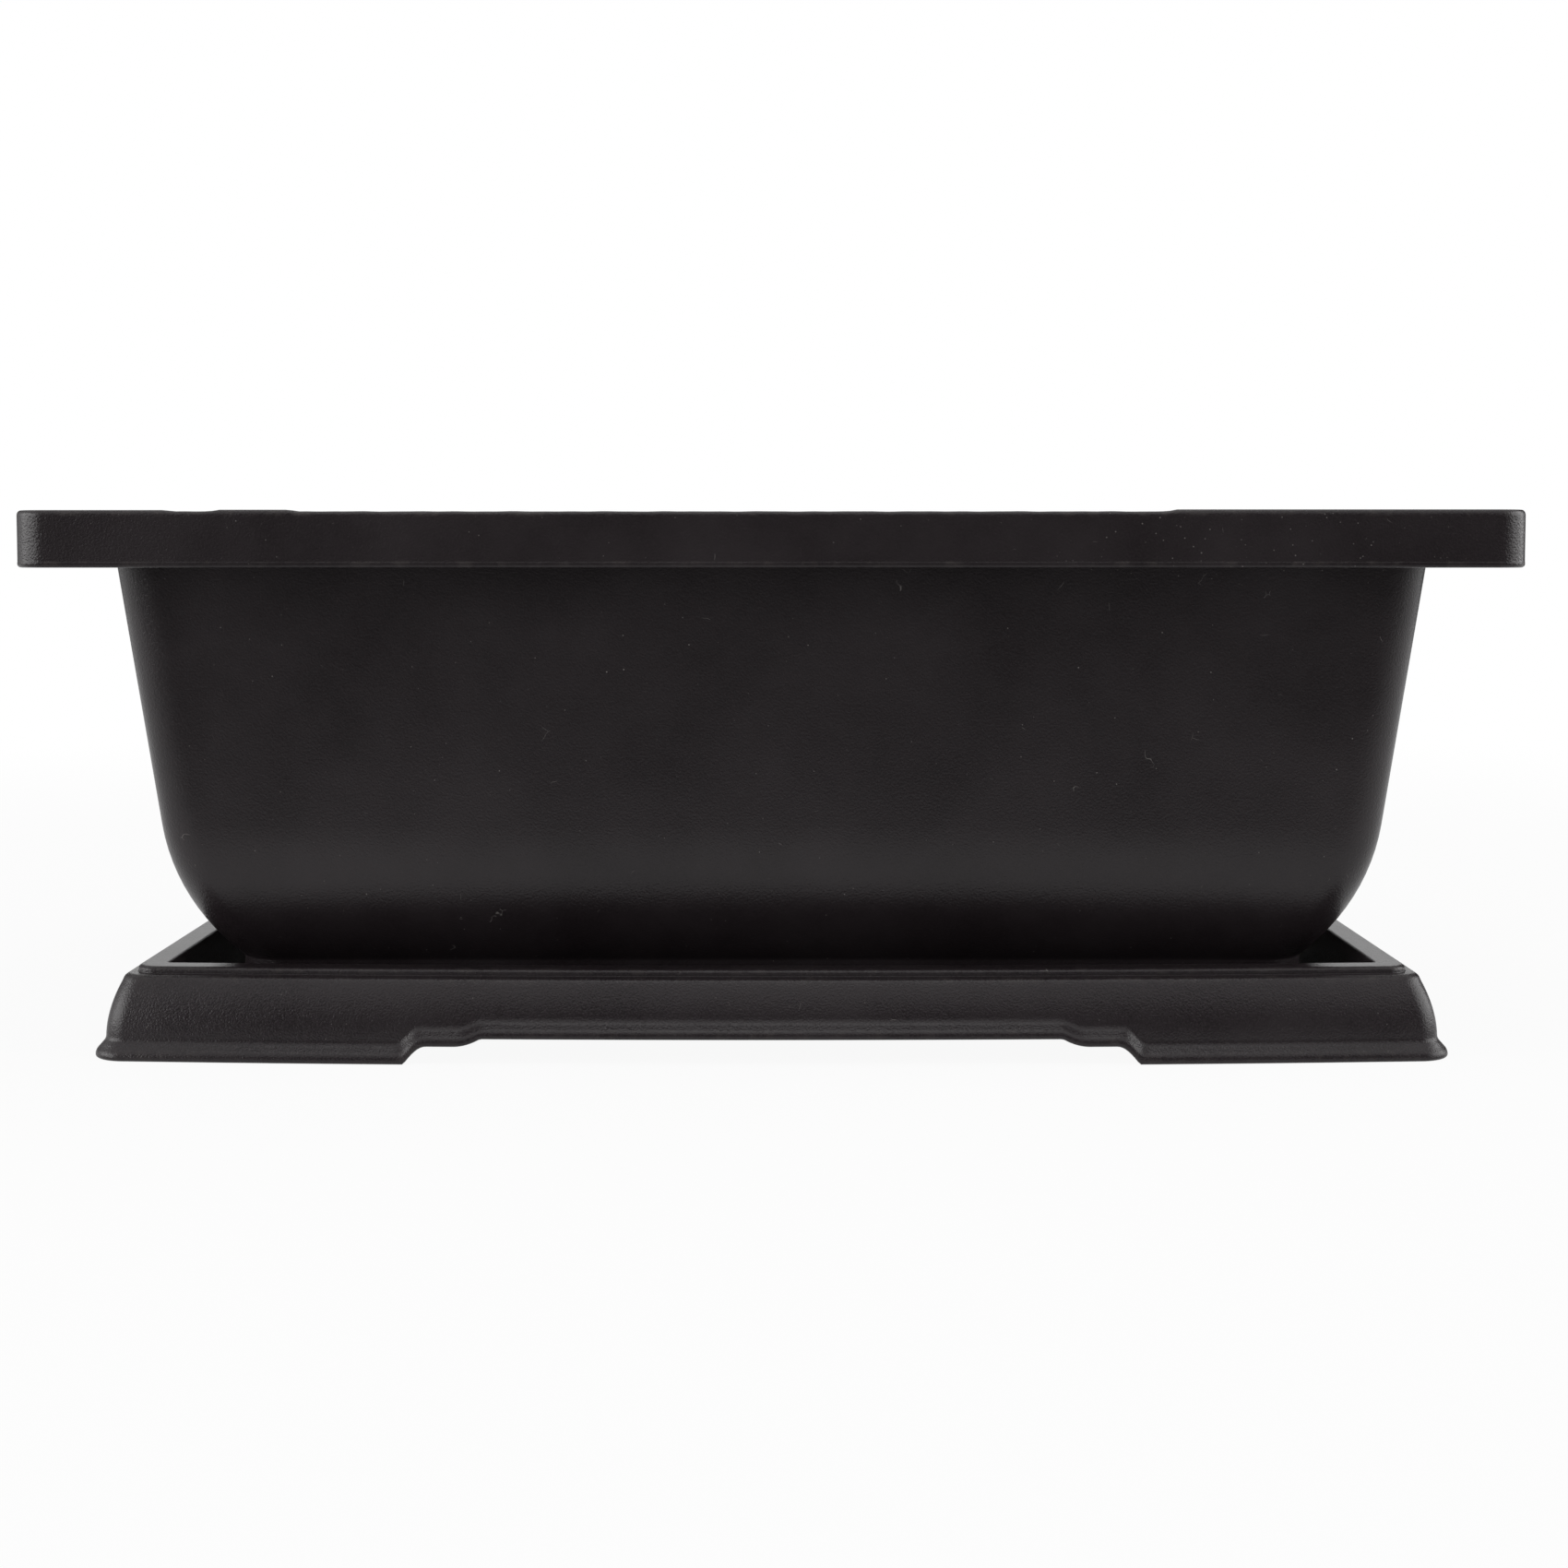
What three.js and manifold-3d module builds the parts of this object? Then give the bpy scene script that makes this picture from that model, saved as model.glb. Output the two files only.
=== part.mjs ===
import * as THREE from 'three';
import { mergeVertices } from 'three/addons/utils/BufferGeometryUtils.js';
import Module from 'manifold-3d';

// A rectangular trough pot and the footed drip tray that it stands in. Millimetres, +Z up, long side
// along X, origin on the ground under the middle of the tray.

// Pot: rim
const rimWidth = 270;
const rimDepth = 200;
const rimHeight = 10.3;
const rimWall = 2.2;
const rimOverhang = 13.6;
const rimCornerRadius = 5.2;
const rimEdgeRadius = 0.9;

// Pot: body
const potHeight = 96.5;
const potWall = 2.4;
const wallDraft = THREE.MathUtils.degToRad(6.75);
const bodyCornerRadius = 9;
const heelRadius = 47;
const heelAngle = THREE.MathUtils.degToRad(58);
const baseEdgeRadius = 4;

// Pot: underside, with a foot ring that hangs from the heel this far outside the flat of the base
const ringReach = 11.4;
const ringWall = 2.4;
const padHeight = 2.7;
const padDiameter = 18;
const padMargin = 3;
const drainDiameter = 12;
const drainMargin = 32;
const drainColumns = 3;
const drainRows = 2;

// Tray: well and lip
const underfloorHeight = 2.7;
const trayWall = 1.8;
const wellDepth = 12.2;
const wellDraft = THREE.MathUtils.degToRad(6);
const wellCornerRadius = 1.2;
const wellFilletRadius = 1.2;
const lipWidth = 5.2;
const lipHeight = 1.3;
const lipCornerRadius = 2.6;
const lipEdgeRadius = 1;

// Tray: skirt, bead along its lower edge, and feet
const ledgeWidth = 1.75;
const skirtWall = 2;
const skirtReach = 3.4;
const skirtStraight = 3.2;
const skirtCornerRadius = 4.7;
const skirtEdgeRadius = 0.8;
const beadReach = 1.92;
const beadTaper = 0.1;
const beadShoulder = 1.55;
const beadHeight = 3.45;
const beadEdgeRadius = 0.7;
const beadCornerRadius = 5.4;
const longFootLength = 58.5;
const shortFootLength = 43;
const coveLength = 4.2;
const stepLength = 5;
const lobeLength = 5;
const stepRise = 3.3;
const archRise = 4.7;
const archSqueeze = 0.085;

// Tray: how far its long sides bow out at their middle, and how far they draw in at the corners
const trayBow = 4.7;
const cornerDrawIn = 1.6;

// Fit of the pot in the tray: the gap under its pads, and the gap at its ends at the height of the lip
const seatClearance = 0.3;
const wellClearance = 9.9;

// Straight steps in each kind of round stretch
const cornerSteps = 6;
const edgeSteps = 2;
const heelSteps = 8;
const skirtSteps = 2;
const archSteps = 3;
const bowSteps = 3;
const barSteps = 24;

// Least radius that a fillet keeps where a thick wall eats into it
const leastFillet = 0.4;

const quarterTurn = Math.PI / 2;

// Heights
const floorTop = underfloorHeight + trayWall;
const lipTop = floorTop + wellDepth;
const ledgeTop = lipTop - lipHeight;
const padBottom = floorTop + seatClearance;
const baseBottom = padBottom + padHeight;
const rimTop = padBottom + potHeight;
const rimBottom = rimTop - rimHeight;

// Every outline's short half is less than its long half by the same amount, for the pot and for the tray
const rimHalf = rimWidth / 2;
const halfDifference = (rimWidth - rimDepth) / 2;
const trayDifference = halfDifference + cornerDrawIn;

// Half width of the straight wall's outside at a height
function wallHalf(z) {
  return rimHalf - rimOverhang + (z - rimBottom) * Math.tan(wallDraft);
}

// The heel is an arc that runs from the straight wall to the rounded edge of the base
const heelCentreZ = baseBottom + baseEdgeRadius + (heelRadius - baseEdgeRadius) * Math.sin(heelAngle);
const heelTop = heelCentreZ - heelRadius * Math.sin(wallDraft);
const heelCentre = { half: wallHalf(heelTop) - heelRadius * Math.cos(wallDraft), z: heelCentreZ };

// Half width of the pot's outside at a height, on the heel or on the straight wall
function potHalf(z) {
  if (z > heelTop) return wallHalf(z);
  return heelCentre.half + Math.sqrt(heelRadius ** 2 - (heelCentre.z - z) ** 2);
}

// Half widths of the flat of the base and of both sides of the foot ring
const baseFlat = heelCentre.half + (heelRadius - baseEdgeRadius) * Math.cos(heelAngle);
const ringOuter = baseFlat + ringReach;
const ringInner = ringOuter - ringWall;

// Height of the heel's outside at a half width
function heelZ(half) {
  return heelCentre.z - Math.sqrt(heelRadius ** 2 - (half - heelCentre.half) ** 2);
}

// The tray's half widths, from the pot outwards
const lipInner = potHalf(lipTop) + wellClearance;
const lipOuter = lipInner + lipWidth;
const ledgeOuter = lipOuter + ledgeWidth;
const skirtFoot = ledgeOuter + skirtReach;
const beadOuter = skirtFoot + beadReach;
const wellFloor = lipInner - wellDepth * Math.tan(wellDraft);

// Half width of the skirt's outside at a height: straight at the foot, then leaning in along a parabola
function skirtHalf(z) {
  const share = Math.max(z - skirtStraight, 0) / (ledgeTop - skirtStraight);
  return skirtFoot - skirtReach * share ** 2;
}

// The tray's long sides bow out along a parabola: its depths grow by this factor at a place along X
function bowStretch(x) {
  const share = Math.max(1 - (x / beadOuter) ** 2, 0);
  return 1 + (trayBow / (beadOuter - trayDifference)) * share;
}

// Points of an arc, as half width and height, between two angles below the horizontal
function arc(centre, radius, from, to, steps) {
  return Array.from({ length: steps + 1 }, (unused, i) => {
    const angle = from + (to - from) * (i / steps);
    return { half: centre.half + radius * Math.cos(angle), z: centre.z - radius * Math.sin(angle) };
  });
}

// The body's side from the flat of the base up to a height, moved into the wall by an inset
function bodySide(inset, top) {
  const radius = heelRadius - inset;
  const fillet = Math.max(baseEdgeRadius - inset, leastFillet);
  const filletZ = baseBottom + inset + fillet;
  const meeting = Math.asin((heelCentre.z - filletZ) / (radius - fillet));
  const filletCentre = { half: heelCentre.half + (radius - fillet) * Math.cos(meeting), z: filletZ };
  const edge = arc(filletCentre, fillet, quarterTurn, meeting, edgeSteps + 1);
  const heel = arc(heelCentre, radius, meeting, wallDraft, heelSteps).slice(1);
  const end = { half: wallHalf(top) - inset / Math.cos(wallDraft), z: top };
  const corner = Math.max(bodyCornerRadius - inset, leastFillet);
  return [...edge, ...heel, end].map((point) => ({ ...point, corner }));
}

// The outside from the flat of the base up to a height, with the foot ring standing down from the heel
function outsideWithRing(top) {
  const side = bodySide(0, top);
  const corner = bodyCornerRadius;
  const ring = [
    { half: ringInner, z: heelZ(ringInner), corner: corner - ringWall },
    { half: ringInner, z: baseBottom, corner: corner - ringWall },
    { half: ringOuter, z: baseBottom, corner },
    { half: ringOuter, z: heelZ(ringOuter), corner },
  ];
  const below = side.filter(({ half }) => half < ringInner);
  const above = side.filter(({ half }) => half > ringOuter);
  return [...below, ...ring, ...above];
}

// A rounded rectangle as a loop of points, anticlockwise seen from above. The plan gives extra points on
// the sides: how far from the middle of the side each one is, and how far the tray's edge rises there.
function outline(half, corner, plan) {
  const halves = { x: half, y: half - plan.difference };
  const points = [];
  for (let side = 0; side < 4; side += 1) {
    const start = side * quarterTurn;
    const signX = Math.sign(Math.cos(start + quarterTurn / 2));
    const signY = Math.sign(Math.sin(start + quarterTurn / 2));
    for (let i = 0; i <= cornerSteps; i += 1) {
      const angle = start + quarterTurn * (i / cornerSteps);
      const x = signX * (halves.x - corner) + corner * Math.cos(angle);
      const y = signY * (halves.y - corner) + corner * Math.sin(angle);
      points.push({ x, y, outX: 0, outY: 0, rise: 0 });
    }
    const outX = Math.round(Math.cos(start + quarterTurn));
    const outY = Math.round(Math.sin(start + quarterTurn));
    const reach = outX === 0 ? halves.y : halves.x;
    const list = outX === 0 ? plan.long : plan.short;
    const mirrored = list.map(({ at, rise }) => ({ at: -at, rise }));
    for (const { at, rise } of [...mirrored, ...list.toReversed()]) {
      points.push({ x: outX * reach - outY * at, y: outY * reach + outX * at, outX, outY, rise });
    }
  }
  return points;
}

// A closed skin through rows of outlines, with a flat lid over the first and the last. A row with a lift
// rises by that share of the arch, and moves in there as far as the skirt does above the bead.
function skin(rows, plan) {
  const positions = [];
  const addPoint = (x, y, z) => positions.push(x, y * plan.stretch(x), z) / 3 - 1;
  const rings = rows.map((row) => outline(row.half, row.corner, plan).map((point) => {
    const rise = point.rise * (row.lift ?? 0);
    const shift = skirtHalf(beadHeight + rise) - skirtHalf(beadHeight);
    return addPoint(point.x + point.outX * shift, point.y + point.outY * shift, row.z + rise);
  }));
  const firstLid = addPoint(0, 0, rows[0].z);
  const lastLid = addPoint(0, 0, rows.at(-1).z);
  const first = rings[0];
  const last = rings.at(-1);
  const indices = [];
  for (let i = 0; i < first.length; i += 1) {
    const next = (i + 1) % first.length;
    indices.push(firstLid, first[next], first[i]);
    indices.push(lastLid, last[i], last[next]);
    for (let j = 0; j + 1 < rings.length; j += 1) {
      const lower = rings[j];
      const upper = rings[j + 1];
      indices.push(lower[i], lower[next], upper[next]);
      indices.push(lower[i], upper[next], upper[i]);
    }
  }
  const geometry = new THREE.BufferGeometry();
  geometry.setAttribute('position', new THREE.Float32BufferAttribute(positions, 3));
  geometry.setIndex(indices);
  return geometry;
}

// Joining and cutting closed shapes
const wasm = await Module();
wasm.setup();

function toSolid(geometry) {
  const bare = geometry.clone();
  bare.deleteAttribute('normal');
  bare.deleteAttribute('uv');
  const merged = mergeVertices(bare);
  const vertProperties = new Float32Array(merged.attributes.position.array);
  const triVerts = new Uint32Array(merged.index.array);
  return new wasm.Manifold(new wasm.Mesh({ numProp: 3, vertProperties, triVerts }));
}

function toGeometry(solid) {
  const mesh = solid.getMesh();
  const geometry = new THREE.BufferGeometry();
  geometry.setAttribute('position', new THREE.Float32BufferAttribute(mesh.vertProperties, 3));
  geometry.setIndex(new THREE.BufferAttribute(mesh.triVerts, 1));
  return geometry;
}

// An upright round bar
function bar(diameter, x, y, bottom, top) {
  const geometry = new THREE.CylinderGeometry(diameter / 2, diameter / 2, top - bottom, barSteps);
  geometry.rotateX(quarterTurn);
  geometry.translate(x, y, (bottom + top) / 2);
  return toSolid(geometry);
}

// Evenly spaced places between two ends that lie equally far from the middle
function spread(reach, count) {
  const gaps = Math.max(count - 1, 1);
  return Array.from({ length: count }, (unused, i) => reach * ((2 * i + 1 - count) / gaps));
}

// Pot

// Rows from the underside of the base up the outside, over the rim and down the inside. The rim is a
// channel, open underneath.
function potRows() {
  const flangeBottom = rimTop - rimWall;
  const rimRow = (inset, z) => {
    return { half: rimHalf - inset, z, corner: Math.max(rimCornerRadius - inset, leastFillet) };
  };
  const topEdge = { half: rimEdgeRadius, z: rimTop - rimEdgeRadius };
  const rimOutside = arc(topEdge, rimEdgeRadius, Math.PI, Math.PI + quarterTurn, edgeSteps);
  const inside = bodySide(potWall, rimTop - rimEdgeRadius).toReversed();
  const mouth = inside[0];
  return [
    ...outsideWithRing(flangeBottom),
    rimRow(rimWall, flangeBottom),
    rimRow(rimWall, rimBottom),
    rimRow(rimEdgeRadius, rimBottom),
    rimRow(0, rimBottom + rimEdgeRadius),
    ...rimOutside.map(({ half, z }) => rimRow(half, z)),
    { half: mouth.half + rimEdgeRadius, z: rimTop, corner: mouth.corner + rimEdgeRadius },
    ...inside,
  ];
}

// The moulding with four pads under the corners of its base, and drain holes through it
function buildPot() {
  const padPlace = baseFlat - padMargin - padDiameter / 2;
  const drainPlace = baseFlat - drainMargin;
  const plan = { difference: halfDifference, stretch: () => 1, long: [], short: [] };
  let solid = toSolid(skin(potRows(), plan));
  for (const x of [-padPlace, padPlace]) {
    for (const y of [-padPlace + halfDifference, padPlace - halfDifference]) {
      solid = solid.add(bar(padDiameter, x, y, padBottom, baseBottom + potWall / 2));
    }
  }
  for (const x of spread(drainPlace, drainColumns)) {
    for (const y of spread(drainPlace - halfDifference, drainRows)) {
      solid = solid.subtract(bar(drainDiameter, x, y, padBottom, baseBottom + 2 * potWall));
    }
  }
  return toGeometry(solid);
}

// Drip tray

// Points along one side for a foot and the stepped arch beside it, from the corner towards the middle: the
// foot, a cove up to the step, the step, a lobe up to the arch, and the arch
function archPoints(sideEnd, footEnd) {
  const stepOuter = footEnd - coveLength;
  const stepInner = stepOuter - stepLength;
  const archEnd = stepInner - lobeLength;
  const stations = [];
  for (let i = bowSteps; i > 0; i -= 1) {
    stations.push({ at: footEnd + (sideEnd - footEnd) * (i / (bowSteps + 1)), rise: 0 });
  }
  for (let i = archSteps; i >= 0; i -= 1) {
    const share = i / archSteps;
    stations.push({ at: stepOuter + share * coveLength, rise: stepRise * Math.cos(share * quarterTurn) });
  }
  for (let i = 0; i <= archSteps; i += 1) {
    const share = i / archSteps;
    const rise = stepRise + (archRise - stepRise) * share ** 2;
    stations.push({ at: stepInner - share * lobeLength, rise });
  }
  for (let i = bowSteps; i > 0; i -= 1) {
    stations.push({ at: archEnd * (i / (bowSteps + 1)), rise: archRise });
  }
  return stations;
}

// The bead's rows, from its lower edge over its shoulder and back to the skirt. Towards its top it rises a
// little less in the arch.
function beadRows() {
  const edgeCentre = { half: beadReach - beadEdgeRadius, z: beadEdgeRadius };
  const section = [
    ...arc(edgeCentre, beadEdgeRadius, quarterTurn, 0, edgeSteps),
    { half: beadReach - beadTaper, z: beadShoulder },
    { half: 0, z: beadHeight },
  ];
  return section.map(({ half, z }) => {
    const corner = skirtCornerRadius + (beadCornerRadius - skirtCornerRadius) * (half / beadReach);
    return { half: skirtHalf(z) + half, z, corner, lift: 1 - archSqueeze * (z / beadHeight) };
  });
}

// Rows from the underside of the floor, down inside the skirt, up its outside, over the lip into the well
function trayRows() {
  const channelTop = ledgeTop - trayWall;
  const skirtInside = skirtCornerRadius - skirtWall;
  const wellOutside = wellCornerRadius + trayWall;
  const skirtStart = archRise + beadHeight;
  const skirtEnd = ledgeTop - skirtEdgeRadius;
  const skirtRows = Array.from({ length: skirtSteps + 1 }, (unused, i) => {
    const z = skirtStart + (skirtEnd - skirtStart) * (i / skirtSteps);
    return { half: skirtHalf(z), z, corner: skirtCornerRadius };
  });
  const lipCentre = { half: lipOuter - lipEdgeRadius, z: lipTop - lipEdgeRadius };
  const filletCentre = { half: wellFloor - wellFilletRadius, z: floorTop + wellFilletRadius };
  return [
    { half: wellFloor + trayWall, z: underfloorHeight, corner: wellOutside },
    { half: lipInner + trayWall, z: channelTop, corner: wellOutside },
    { half: skirtHalf(channelTop) - skirtWall, z: channelTop, corner: skirtInside },
    { half: skirtHalf(0) - skirtWall, z: 0, corner: skirtInside, lift: 1 },
    ...beadRows(),
    ...skirtRows,
    { half: skirtHalf(ledgeTop) - skirtEdgeRadius, z: ledgeTop, corner: skirtCornerRadius },
    { half: lipOuter, z: ledgeTop, corner: lipCornerRadius },
    ...arc(lipCentre, lipEdgeRadius, 0, -quarterTurn, edgeSteps).map((point) => {
      return { ...point, corner: lipCornerRadius };
    }),
    { half: lipInner, z: lipTop, corner: wellCornerRadius },
    ...arc(filletCentre, wellFilletRadius, 0, quarterTurn, edgeSteps).map((point) => {
      return { ...point, corner: wellCornerRadius };
    }),
  ];
}

function buildTray() {
  const rows = trayRows();
  const straight = Math.min(...rows.map(({ half, corner }) => half - corner));
  const plan = {
    difference: trayDifference,
    stretch: bowStretch,
    long: archPoints(straight, beadOuter - longFootLength),
    short: archPoints(straight - trayDifference, beadOuter - trayDifference - shortFootLength),
  };
  return skin(rows, plan);
}

// Assembly: both mouldings are the same dark brown-grey plastic with a fine matt grain
const plastic = { color: 0x2a2626, roughness: 0.5, metalness: 0 };

const flowerPot = new THREE.Group();
for (const [name, geometry] of [['pot', buildPot()], ['drip_tray', buildTray()]]) {
  const mesh = new THREE.Mesh(geometry, new THREE.MeshStandardMaterial(plastic));
  mesh.name = name;
  flowerPot.add(mesh);
}

export default flowerPot;
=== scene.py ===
import math

import bpy
import numpy as np
from mathutils.geometry import delaunay_2d_cdt
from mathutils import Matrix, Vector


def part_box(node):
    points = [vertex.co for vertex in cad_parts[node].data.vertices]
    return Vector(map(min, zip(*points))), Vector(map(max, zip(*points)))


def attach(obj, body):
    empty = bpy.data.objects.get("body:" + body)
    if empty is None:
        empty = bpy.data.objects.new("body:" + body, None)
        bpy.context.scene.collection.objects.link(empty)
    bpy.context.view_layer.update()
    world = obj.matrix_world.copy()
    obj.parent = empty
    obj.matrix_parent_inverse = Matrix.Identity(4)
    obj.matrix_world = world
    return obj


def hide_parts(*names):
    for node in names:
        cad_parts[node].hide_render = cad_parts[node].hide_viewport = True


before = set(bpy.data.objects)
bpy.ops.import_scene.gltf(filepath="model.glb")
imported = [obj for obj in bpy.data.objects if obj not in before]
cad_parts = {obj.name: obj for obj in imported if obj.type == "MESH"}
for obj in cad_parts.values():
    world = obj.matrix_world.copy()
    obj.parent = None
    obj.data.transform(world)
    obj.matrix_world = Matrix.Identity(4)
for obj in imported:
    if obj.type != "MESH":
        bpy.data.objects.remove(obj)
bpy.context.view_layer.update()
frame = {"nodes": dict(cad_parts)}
print("frame loaded:", ", ".join(frame["nodes"]))

mm = 0.001  # sizes of the pieces and the camera are in millimetres, the meshes and the stage in metres
cornerSteps = 14  # straight steps in a quarter turn of a plan corner
leastArcSteps, stepsPerRadian = 4, 4.0  # the least number of steps in a rounding, in all and to a radian
arcStep = 2.5  # a step of a rounding is at most about this long
tiny, weld = 1e-12, 1e-6  # a rise too small to divide by, and how close two points of a panel are one
holdGap = 0.3  # a row this far from each rounding keeps the flat beside it flat
wideSpacing, closeSpacing = 6.0, 2.0  # rows on the straight stretches of large and of small forms

potLow, potHigh = (np.array(corner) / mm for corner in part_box("pot"))
trayHigh = np.array(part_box("drip_tray")[1]) / mm
potShort = potHigh[0] - potHigh[1]  # each of the pot's outlines is this much less on its short half


# Section lines

# Where two lines of a section cross: p + s d = q + t e, solved for s.
def meet(p, d, q, e):
    p, d, q, e = (np.asarray(v, float) for v in (p, d, q, e))
    s = ((q[0] - p[0]) * e[1] - (q[1] - p[1]) * e[0]) / (d[0] * e[1] - d[1] * e[0])
    return p + s * d


# A polyline with its corners rounded. Each corner is half width, height, rounding radius, plan corner
# radius and wear. The rounding is the circle that touches both lines, r tan(turn / 2) from the corner.
# The result has a row for each point: half width, height, plan corner radius, wear.
def roundedPath(corners, spacing=wideSpacing):
    c = np.asarray(corners, float)
    rows = [np.array([[c[0, 0], c[0, 1], c[0, 3], 0.0]])]
    for k in range(1, len(c)):
        start = rows[-1][-1]
        if k == len(c) - 1:
            rows.append(straight(start, np.array([c[k, 0], c[k, 1], c[k, 3], 0.0]), spacing))
            break
        into = c[k, :2] - c[k - 1, :2]
        away = c[k + 1, :2] - c[k, :2]
        into /= np.linalg.norm(into)
        away /= np.linalg.norm(away)
        cross = into[0] * away[1] - into[1] * away[0]
        turn = math.atan2(cross, into @ away)
        radius, plan, wear = c[k, 2], c[k, 3], c[k, 4]
        first = c[k, :2] - into * radius * math.tan(abs(turn) / 2)
        centre = first + math.copysign(radius, turn) * np.array([-into[1], into[0]])
        steps = max(leastArcSteps, round(abs(turn) * max(stepsPerRadian, radius / arcStep)))
        angle = np.linspace(0, turn, steps + 1)
        arm = first - centre
        arc = np.stack([
            centre[0] + arm[0] * np.cos(angle) - arm[1] * np.sin(angle),
            centre[1] + arm[0] * np.sin(angle) + arm[1] * np.cos(angle),
            np.full(angle.shape, plan),
            np.full(angle.shape, wear),
        ], -1)
        rows.append(straight(start, np.array([first[0], first[1], plan, 0.0]), spacing)[:-1])
        rows.append(arc)
    return np.concatenate(rows)


# Rows of a straight stretch after its start: one close to each end, the rest evenly spaced between.
def straight(start, end, spacing):
    length = np.linalg.norm(end[:2] - start[:2])
    if length < 4 * holdGap:
        return end[None, :]
    hold = holdGap / length
    inner = np.linspace(hold, 1 - hold, max(2, math.ceil(length / spacing)))
    share = np.append(inner, 1.0)[:, None]
    rows = start + (end - start) * share
    rows[:, 3] = 0.0
    return rows


# 3 t^2 - 2 t^3 between two places, 0 before the first and 1 after the second.
def smoothStep(start, end, at):
    t = np.clip((at - start) / (end - start), 0, 1)
    return t * t * (3 - 2 * t)


# Surfaces

# Loops round rounded rectangles, a loop for each row: a quarter circle at each corner about a centre one
# radius in from both sides, and between two corners points on the straight side. Seen from above they
# run anticlockwise. longAt and shortAt say how far from the middle of a side its points are, shortBy how
# much less the short half is.
def loopGrid(half, plan, longAt, shortAt, shortBy):
    half, plan = half[:, None], plan[:, None]
    turn = np.linspace(0, np.pi / 2, cornerSteps + 1)
    parts = []
    for side in range(4):
        angle = side * np.pi / 2 + turn
        signX = np.sign(np.cos(angle.mean()))
        signY = np.sign(np.sin(angle.mean()))
        x = signX * (half - plan) + plan * np.cos(angle)
        y = signY * (half - shortBy - plan) + plan * np.sin(angle)
        parts.append(np.stack([x, y], -1))
        outX, outY = round(math.cos(angle[-1])), round(math.sin(angle[-1]))
        reach, at = (half - shortBy, longAt) if outX == 0 else (half, shortAt)
        parts.append(np.stack([outX * reach - outY * at, outY * reach + outX * at], -1))
    return np.concatenate(parts, 1)


# Which points of such a loop lie on a side, how far each is from the middle, and the side's direction out.
def loopSides(longAt, shortAt):
    corner = np.zeros((cornerSteps + 1, 3))
    parts = []
    for side in range(4):
        angle = (side + 1) * np.pi / 2
        at = longAt if side % 2 == 0 else shortAt
        out = np.tile([round(math.cos(angle)), round(math.sin(angle))], (len(at), 1))
        parts += [corner, np.column_stack([np.abs(at), out])]
    return np.concatenate(parts)


# Quads between neighbouring rows of a grid whose columns close on themselves, turned over where flip is set.
def ringFaces(rows, columns, first=0, flip=False):
    index = first + np.arange(rows * columns).reshape(rows, columns)
    lower, upper = index[:-1], index[1:]
    quads = np.stack([lower, np.roll(lower, -1, 1), np.roll(upper, -1, 1), upper], -1).reshape(-1, 4)
    return (quads[:, ::-1] if flip else quads).tolist()


# Circles about a point, one for each row: centre + r (cos a, sin a), at that row's height.
def circleRows(x, y, radius, z, columns):
    angle = np.linspace(0, 2 * np.pi, columns, endpoint=False)
    radius, z = np.asarray(radius)[:, None], np.asarray(z)[:, None]
    return np.stack([x + radius * np.cos(angle), y + radius * np.sin(angle), z + 0 * angle], -1)


# Triangles of a flat panel between an outer loop and the loops of its holes, all of them point numbers.
def flatFaces(points, outer, holes, up):
    loops = [np.asarray(outer), *(np.asarray(hole) for hole in holes)]
    number = np.concatenate(loops)
    starts = np.cumsum([0] + [len(loop) for loop in loops])
    edges = []
    for start, loop in zip(starts, loops):
        here = start + np.arange(len(loop))
        edges += np.column_stack([here, np.roll(here, -1)]).tolist()
    flat = points[number, :2].tolist()
    made, _, faces, _, _, _ = delaunay_2d_cdt(flat, edges, [], 0, weld)
    corners = np.array(made)[np.array(faces)]
    middle = corners.mean(1)
    keep = insideLoop(middle, points[loops[0], :2])
    for loop in loops[1:]:
        keep &= ~insideLoop(middle, points[loop, :2])
    picked = number[np.array(faces)[keep]]
    a, b, c = (points[picked[:, k], :2] for k in range(3))
    area = (b[:, 0] - a[:, 0]) * (c[:, 1] - a[:, 1]) - (b[:, 1] - a[:, 1]) * (c[:, 0] - a[:, 0])
    wrong = (area > 0) != up
    picked[wrong] = picked[wrong][:, ::-1]
    return picked.tolist()


# A point is inside a loop when a line from it towards +X crosses the loop an odd number of times.
def insideLoop(points, loop):
    a, b = loop, np.roll(loop, -1, 0)
    px, py = points[:, 0, None], points[:, 1, None]
    spans = (a[:, 1] > py) != (b[:, 1] > py)
    rise = b[:, 1] - a[:, 1]
    rise = np.where(np.abs(rise) < tiny, tiny, rise)
    crossing = a[:, 0] + (py - a[:, 1]) / rise * (b[:, 0] - a[:, 0])
    return (np.sum(spans & (px < crossing), 1) % 2).astype(bool)


# One mesh object at the origin from points in millimetres, with a wear value on each point. The faces are
# shaded smooth, the panels flat.
def makePiece(name, points, faces, panels, wear):
    mesh = bpy.data.meshes.new(name)
    mesh.from_pydata((points * mm).tolist(), [], faces + panels)
    mesh.attributes.new("edgeWear", "FLOAT", "POINT").data.foreach_set("value", wear.astype(np.float32))
    mesh.polygons.foreach_set("use_smooth", np.arange(len(mesh.polygons)) < len(faces))
    mesh.update()
    piece = bpy.data.objects.new(name, mesh)
    bpy.context.scene.collection.objects.link(piece)
    print(name, "has", len(mesh.loops) - 2 * len(mesh.polygons), "triangles")
    return piece


# Pot

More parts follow.
